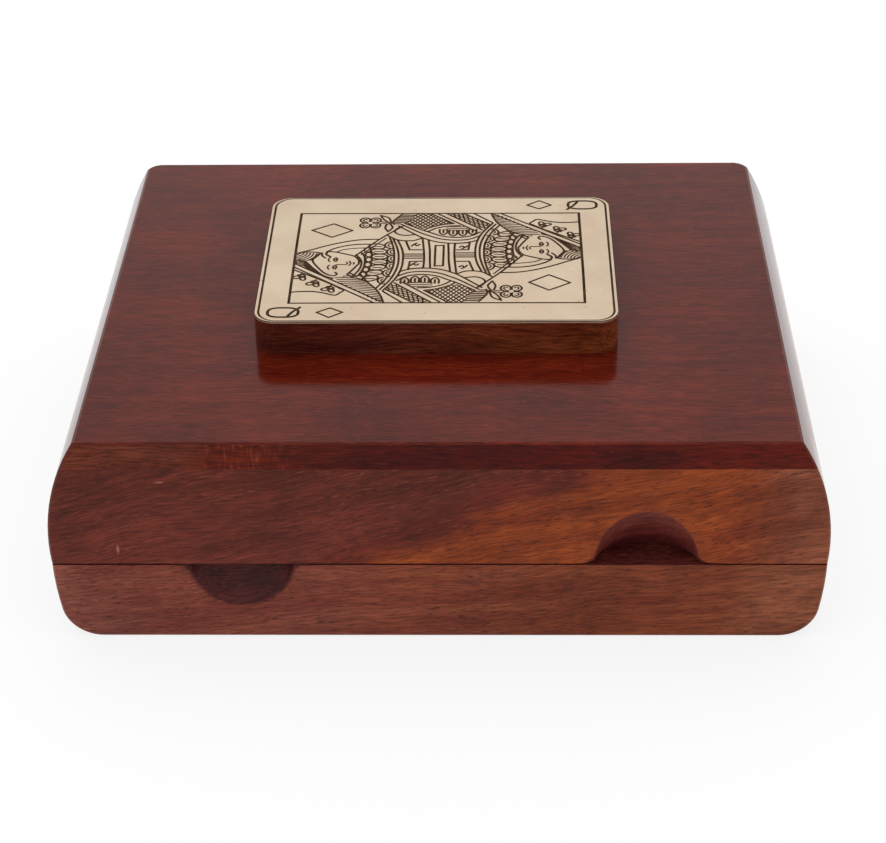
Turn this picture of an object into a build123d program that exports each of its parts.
from build123d import *
import os
from math import hypot, pi, radians, sqrt, tan

# A wooden box for two decks of playing cards, with a hinged lid.
# Millimetres; +X is right, +Y is back, +Z is up, and the front faces -Y.
# The origin is the middle of the underside, front to back without the hinges.

# Body
box_width = 165.4  # across the rounded ends at their widest
box_depth = 127.0  # flat front to flat back
box_height = 50.5  # underside to the top of the lid board
seam_height = 19.5  # where the lid parts from the base
rim_gap = 0.4  # dark line between the rims when the lid is down
arris = 0.4  # sanded flat along the sharp outer edges

# Rounded ends
lid_end_radius = 50.0
bulge_height = 24.0  # height at which the ends are widest
base_end_radius = 80.0
foot_radius = 8.5  # tight curve where the ends turn under
back_edge_radius = 3.0  # the upright edges at the back, and the one on the floor, are sanded round

# Woodwork
rail_thickness = 14.0  # front and back rails
top_thickness = 6.6
floor_thickness = 4.0
rebate = 2.0  # ledge round the base rails that the floor sits in
well_width = 66.0  # one deck, with room for a finger
divider_thickness = 5.0
divider_groove = 3.0  # depth of the groove at each end of the divider
divider_drop = 1.5  # divider's top below the base's rim
divider_round = 1.2
felt_thickness = 1.0
joint_play = 0.1  # slack of a panel in its rebate or groove
felt_play = 0.3

# Finger scoops, cut along a slanting line through the front edge of each rim
scoop_flare = 4.0  # curve where a scoop runs out into the rim
scoop_round = 0.9  # rounding of its edge on the front face
lid_scoop_x = 44.1
lid_scoop_width = 22.0
lid_scoop_rise = 13.6
lid_scoop_depth = 7.7
base_scoop_x = -42.0
base_scoop_width = 22.0
base_scoop_drop = 10.9
base_scoop_depth = 7.0

# Card on the lid
card_length = 79.5
card_width = 57.6
card_corner = 4.5
card_x = -0.7  # the card sits a little off the middle
card_y = 0.3
block_thickness = 7.7
plate_thickness = 0.5
plate_arris = 0.15

# Butt hinges
hinge_offset = 45.0  # from the middle of the box to the middle of each hinge
hinge_length = 25.0
hinge_reach = 10.0  # pin to the inner edge of a leaf
leaf_thickness = 1.0
knuckle_radius = 2.0
knuckle_count = 5
knuckle_play = 0.2  # gap between knuckles along the pin
pin_radius = 0.9
pin_play = 0.05
barrel_clearance = 0.2  # barrel to the back of the box
mortise_play = 0.1

# Hinge screws
screw_spacing = 15.0
screw_setback = 4.0  # screw to the inner edge of the leaf
screw_head_radius = 1.8
head_angle = 90  # of the countersunk cone
screw_radius = 1.0
screw_length = 8.0
screw_play = 0.05

# Heights and places that follow from the sizes above
base_rim = seam_height - rim_gap / 2
lid_rim = seam_height + rim_gap / 2
rail_top = box_height - top_thickness
back_y = box_depth / 2
inner_depth = box_depth - 2 * rail_thickness
inner_width = 2 * well_width + divider_thickness
well_x = (well_width + divider_thickness) / 2
pin_y = back_y + knuckle_radius + barrel_clearance
leaf_edge_y = pin_y - hinge_reach
screw_y = leaf_edge_y + screw_setback
head_depth = (screw_head_radius - screw_radius) / tan(radians(head_angle / 2))
hinge_places = {"left": -hinge_offset, "right": hinge_offset}
end_sides = {"left": -1, "right": 1}
sanded_flat = back_edge_radius * (2 - sqrt(2))  # the three flats that stand for a back edge's radius
sanded_easing = back_edge_radius * (sqrt(2) - 1 - tan(pi / 16))
leaf_rims = {"base": (base_rim, -1), "lid": (lid_rim, 1)}  # a leaf's face, and the side its wood is on


def lid_half_width(height):
    """Half the width of the lid at a height, from the arc of its rounded ends."""
    return box_width / 2 - lid_end_radius + sqrt(lid_end_radius**2 - (height - bulge_height) ** 2)


def lid_section(low, high):
    """The lid seen from the front between two heights: level edges, each end on one arc."""
    middle = (low + high) / 2
    low_x, middle_x, high_x = [lid_half_width(height) for height in (low, middle, high)]
    with BuildSketch() as section:
        with BuildLine():
            end = ThreePointArc((low_x, low), (middle_x, middle), (high_x, high))
            mirror(end, about=Plane.YZ)
            Line((-low_x, low), (low_x, low))
            Line((-high_x, high), (high_x, high))
        make_face()
    return section.sketch


def base_section():
    """The base seen from the front: flat sole, tight foot, long curve that meets the lid's end."""
    long_centre = lid_half_width(seam_height) - base_end_radius
    reach = base_end_radius - foot_radius
    foot_centre = long_centre + sqrt(reach**2 - (seam_height - foot_radius) ** 2)
    share = base_end_radius / reach
    turn_x = long_centre + (foot_centre - long_centre) * share
    turn_z = seam_height + (foot_radius - seam_height) * share
    rim_x = long_centre + sqrt(base_end_radius**2 - (seam_height - base_rim) ** 2)
    with BuildSketch() as section:
        with BuildLine():
            sole = Line((-foot_centre, 0), (foot_centre, 0))
            foot = TangentArc(sole @ 1, (turn_x, turn_z), tangent=sole % 1)
            side = TangentArc(foot @ 1, (rim_x, base_rim), tangent=foot % 1)
            mirror([foot, side], about=Plane.YZ)
            Line((-rim_x, base_rim), (rim_x, base_rim))
        make_face()
    return section.sketch


def scoop_outline(width, height, away):
    """A finger scoop on the front face: half an ellipse whose feet flare into the rim.

    The rim is the line y = 0. The strip that the scoop opens into lies beyond it, on the side
    that away names, and is a flare wider than the flared feet at each end.
    """
    strip_width = width + 2 * (scoop_flare + scoop_flare)
    with BuildSketch() as outline:
        Ellipse(width / 2, height)
        Rectangle(strip_width, 2 * height, align=(Align.CENTER, away))
        rim_corners = outline.vertices().group_by(lambda vertex: round(abs(vertex.Y), 3))[0]
        fillet(rim_corners.sort_by(Axis.X)[1:3], scoop_flare)
    return outline.sketch


def card_outline():
    """The card's outline, for the block and for the plate on it."""
    with BuildSketch() as outline:
        with Locations((card_x, card_y)):
            RectangleRounded(card_length, card_width, card_corner)
    return outline.sketch


def screw_spots(hinge_x, rim):
    """The places of a hinge leaf's screws, on the face of the leaf."""
    return [(hinge_x + side * screw_spacing / 2, screw_y, rim) for side in end_sides.values()]


def cut_scoop(outline, place_x, rim, slope):
    """Cuts a finger scoop into a front rail, along the slope from its face to its rim."""
    with BuildSketch(Plane.XZ.offset(box_depth / 2)) as mouth:
        with Locations((place_x, rim)):
            add(outline)
    extrude(mouth.sketch, amount=hypot(*slope), dir=slope, both=True, mode=Mode.SUBTRACT)


def round_scoop(rail, place_x, width):
    """Rounds the edge where a finger scoop meets the front face of its rail."""
    reach = width / 2 + 2 * scoop_flare
    front_edges = rail.faces().sort_by(Axis.Y)[0].edges()
    fillet(front_edges.filter_by(lambda edge: abs(edge.center().X - place_x) < reach), scoop_round)


def sand_back_edges(part):
    """Rounds the edges between the lid's back and its ends in three flats that touch one radius."""
    chamfer(part.faces().sort_by(Axis.Y)[-1].edges().filter_by(GeomType.CIRCLE), sanded_flat)
    chamfer(part.faces().filter_by(GeomType.CONE).edges().filter_by(GeomType.CIRCLE), sanded_easing)


def cut_floor_rebate():
    """Takes the floor panel's space out of a rail of the base."""
    with Locations((0, 0, floor_thickness / 2)):
        Box(inner_width + 2 * rebate, inner_depth + 2 * rebate, floor_thickness, mode=Mode.SUBTRACT)


def cut_divider_grooves():
    """Takes the divider's grooves out of the front or back rail of the base."""
    with Locations((0, 0, floor_thickness)):
        Box(
            divider_thickness,
            inner_depth + 2 * divider_groove,
            seam_height,
            align=(Align.CENTER, Align.CENTER, Align.MIN),
            mode=Mode.SUBTRACT,
        )


def cut_hinge_seats(rim, into_wood):
    """Lets the hinge leaves and their screws into a back rail, on the side that into_wood names."""
    for hinge_x in hinge_places.values():
        with Locations((hinge_x, back_y, rim)):
            Box(
                hinge_length + 2 * mortise_play,
                2 * (back_y - leaf_edge_y + mortise_play),
                2 * leaf_thickness,
                mode=Mode.SUBTRACT,
            )
        with Locations(*screw_spots(hinge_x, rim)):
            Cylinder(
                screw_radius + screw_play,
                screw_length + screw_play,
                align=(Align.CENTER, Align.CENTER, into_wood),
                mode=Mode.SUBTRACT,
            )


# Rails of the base
with BuildPart() as base_front_rail:
    with BuildSketch(Plane.XZ.offset(inner_depth / 2)):
        add(base_section())
    extrude(amount=rail_thickness)
    chamfer(base_front_rail.faces().sort_by(Axis.Y)[0].edges().sort_by(Axis.Z)[:-1], arris)
    base_scoop = scoop_outline(base_scoop_width, base_scoop_drop, Align.MIN)
    cut_scoop(base_scoop, base_scoop_x, base_rim, (0, base_scoop_depth, base_scoop_drop))
    round_scoop(base_front_rail, base_scoop_x, base_scoop_width)
    cut_floor_rebate()
    cut_divider_grooves()

with BuildPart() as base_back_rail:
    with BuildSketch(Plane.XZ.offset(-box_depth / 2)):
        add(base_section())
    extrude(amount=rail_thickness)
    fillet(base_back_rail.faces().sort_by(Axis.Y)[-1].edges().sort_by(Axis.Z)[:-1], back_edge_radius)
    cut_floor_rebate()
    cut_divider_grooves()
    cut_hinge_seats(base_rim, Align.MAX)

base_end_rails = {}
for name, side in end_sides.items():
    with BuildPart() as base_end_rail:
        with BuildSketch(Plane.XZ.offset(-inner_depth / 2)):
            add(base_section())
            with Locations((side * inner_width / 2, 0)):
                Rectangle(
                    box_width,
                    box_height,
                    align=(Align.MIN if side > 0 else Align.MAX, Align.MIN),
                    mode=Mode.INTERSECT,
                )
        extrude(amount=inner_depth)
        cut_floor_rebate()
    base_end_rails[name] = base_end_rail

# Inside of the base
with BuildPart() as base_floor:
    with BuildSketch():
        Rectangle(
            inner_width + 2 * (rebate - joint_play),
            inner_depth + 2 * (rebate - joint_play),
        )
    extrude(amount=floor_thickness)

with BuildPart() as deck_divider:
    with BuildSketch(Plane.XY.offset(floor_thickness)):
        Rectangle(divider_thickness, inner_depth + 2 * (divider_groove - joint_play))
    extrude(amount=base_rim - divider_drop - floor_thickness)
    fillet(deck_divider.faces().sort_by(Axis.Z)[-1].edges().filter_by(Axis.Y), divider_round)

felt_pads = {}
for name, side in end_sides.items():
    with BuildPart() as felt_pad:
        with BuildSketch(Plane.XY.offset(floor_thickness)):
            with Locations((side * well_x, 0)):
                Rectangle(well_width - 2 * felt_play, inner_depth - 2 * felt_play)
        extrude(amount=felt_thickness)
    felt_pads[name] = felt_pad

# Rails of the lid
with BuildPart() as lid_front_rail:
    with BuildSketch(Plane.XZ.offset(inner_depth / 2)):
        add(lid_section(lid_rim, rail_top))
    extrude(amount=rail_thickness)
    chamfer(lid_front_rail.faces().sort_by(Axis.Y)[0].edges().filter_by(GeomType.CIRCLE), arris)
    lid_scoop = scoop_outline(lid_scoop_width, lid_scoop_rise, Align.MAX)
    cut_scoop(lid_scoop, lid_scoop_x, lid_rim, (0, lid_scoop_depth, -lid_scoop_rise))
    round_scoop(lid_front_rail, lid_scoop_x, lid_scoop_width)

with BuildPart() as lid_back_rail:
    with BuildSketch(Plane.XZ.offset(-box_depth / 2)):
        add(lid_section(lid_rim, rail_top))
    extrude(amount=rail_thickness)
    sand_back_edges(lid_back_rail)
    cut_hinge_seats(lid_rim, Align.MIN)

lid_end_rails = {}
for name, side in end_sides.items():
    with BuildPart() as lid_end_rail:
        with BuildSketch(Plane.XZ.offset(-inner_depth / 2)):
            add(lid_section(lid_rim, rail_top))
            with Locations((side * inner_width / 2, 0)):
                Rectangle(
                    box_width,
                    box_height,
                    align=(Align.MIN if side > 0 else Align.MAX, Align.MIN),
                    mode=Mode.INTERSECT,
                )
        extrude(amount=inner_depth)
    lid_end_rails[name] = lid_end_rail

# Top of the lid
with BuildPart() as lid_top_board:
    with BuildSketch(Plane.XZ.offset(-box_depth / 2)):
        add(lid_section(rail_top, box_height))
    extrude(amount=box_depth)
    sand_back_edges(lid_top_board)
    top_edges = lid_top_board.faces().sort_by(Axis.Z)[-1].edges()
    chamfer(top_edges + lid_top_board.faces().sort_by(Axis.Y)[0].edges().filter_by(GeomType.CIRCLE), arris)

with BuildPart() as card_block:
    with BuildSketch(Plane.XY.offset(box_height)):
        add(card_outline())
    extrude(amount=block_thickness)

with BuildPart() as card_plate:
    with BuildSketch(Plane.XY.offset(box_height + block_thickness)):
        add(card_outline())
    extrude(amount=plate_thickness)
    chamfer(card_plate.faces().sort_by(Axis.Z)[-1].edges(), plate_arris)

# Butt hinges: each leaf carries every other knuckle, and the pin runs through them all
knuckle_pitch = hinge_length / knuckle_count
hinge_leaves = {}
hinge_pins = {}
for name, hinge_x in hinge_places.items():
    for order, (body, (rim, into_wood)) in enumerate(leaf_rims.items()):
        knuckle_xs = [
            hinge_x + (number + 0.5 - knuckle_count / 2) * knuckle_pitch
            for number in range(order, knuckle_count, len(leaf_rims))
        ]
        with BuildPart() as hinge_leaf:
            with Locations((hinge_x, leaf_edge_y, rim + into_wood * leaf_thickness / 2)):
                Box(
                    hinge_length,
                    back_y - leaf_edge_y,
                    leaf_thickness,
                    align=(Align.CENTER, Align.MIN, Align.CENTER),
                )
            with Locations(*[(x, back_y, rim + into_wood * leaf_thickness / 2) for x in knuckle_xs]):
                Box(
                    knuckle_pitch - knuckle_play,
                    pin_y - back_y,
                    leaf_thickness,
                    align=(Align.CENTER, Align.MIN, Align.CENTER),
                )
            with Locations(*[(x, pin_y, seam_height) for x in knuckle_xs]):
                Cylinder(knuckle_radius, knuckle_pitch - knuckle_play, rotation=(0, 90, 0))
            with Locations((hinge_x, pin_y, seam_height)):
                Cylinder(pin_radius + pin_play, hinge_length, rotation=(0, 90, 0), mode=Mode.SUBTRACT)
            with Locations(*[Plane(spot, z_dir=(0, 0, -into_wood)) for spot in screw_spots(hinge_x, rim)]):
                CounterSinkHole(
                    screw_radius + screw_play,
                    screw_head_radius + screw_play,
                    leaf_thickness,
                    head_angle,
                )
        hinge_leaves[name, body] = hinge_leaf
    with BuildPart() as hinge_pin:
        with Locations((hinge_x, pin_y, seam_height)):
            Cylinder(pin_radius, hinge_length, rotation=(0, 90, 0))
    hinge_pins[name] = hinge_pin

# Countersunk wood screws, four in the base and four in the lid
with BuildPart() as hinge_screw:
    with BuildSketch(Plane.XZ):
        with BuildLine():
            Polyline(
                (0, 0),
                (screw_head_radius, 0),
                (screw_radius, -head_depth),
                (screw_radius, -screw_length),
                (0, -screw_length),
                close=True,
            )
        make_face()
    revolve(axis=Axis.Z)

screw_groups = {}
for body, (rim, into_wood) in leaf_rims.items():
    turn = 0 if body == "base" else 180
    with BuildPart() as screw_group:
        for hinge_x in hinge_places.values():
            with Locations(*[Location(spot, (turn, 0, 0)) for spot in screw_spots(hinge_x, rim)]):
                add(hinge_screw.part)
    screw_groups[body] = screw_group

pieces = {
    "base_front_rail": base_front_rail,
    "base_back_rail": base_back_rail,
    "base_floor": base_floor,
    "deck_divider": deck_divider,
    "lid_front_rail": lid_front_rail,
    "lid_back_rail": lid_back_rail,
    "lid_top_board": lid_top_board,
    "card_block": card_block,
    "card_plate": card_plate,
}
for name in end_sides:
    pieces[f"base_{name}_end_rail"] = base_end_rails[name]
    pieces[f"lid_{name}_end_rail"] = lid_end_rails[name]
    pieces[f"{name}_felt_pad"] = felt_pads[name]
    pieces[f"{name}_hinge_pin"] = hinge_pins[name]
for (name, body), hinge_leaf in hinge_leaves.items():
    pieces[f"{name}_hinge_{body}_leaf"] = hinge_leaf
for body, screw_group in screw_groups.items():
    pieces[f"{body}_hinge_screws"] = screw_group

os.makedirs("parts", exist_ok=True)
for label, piece in pieces.items():
    piece.part.label = label
    export_step(piece.part, f"parts/{label}.step")
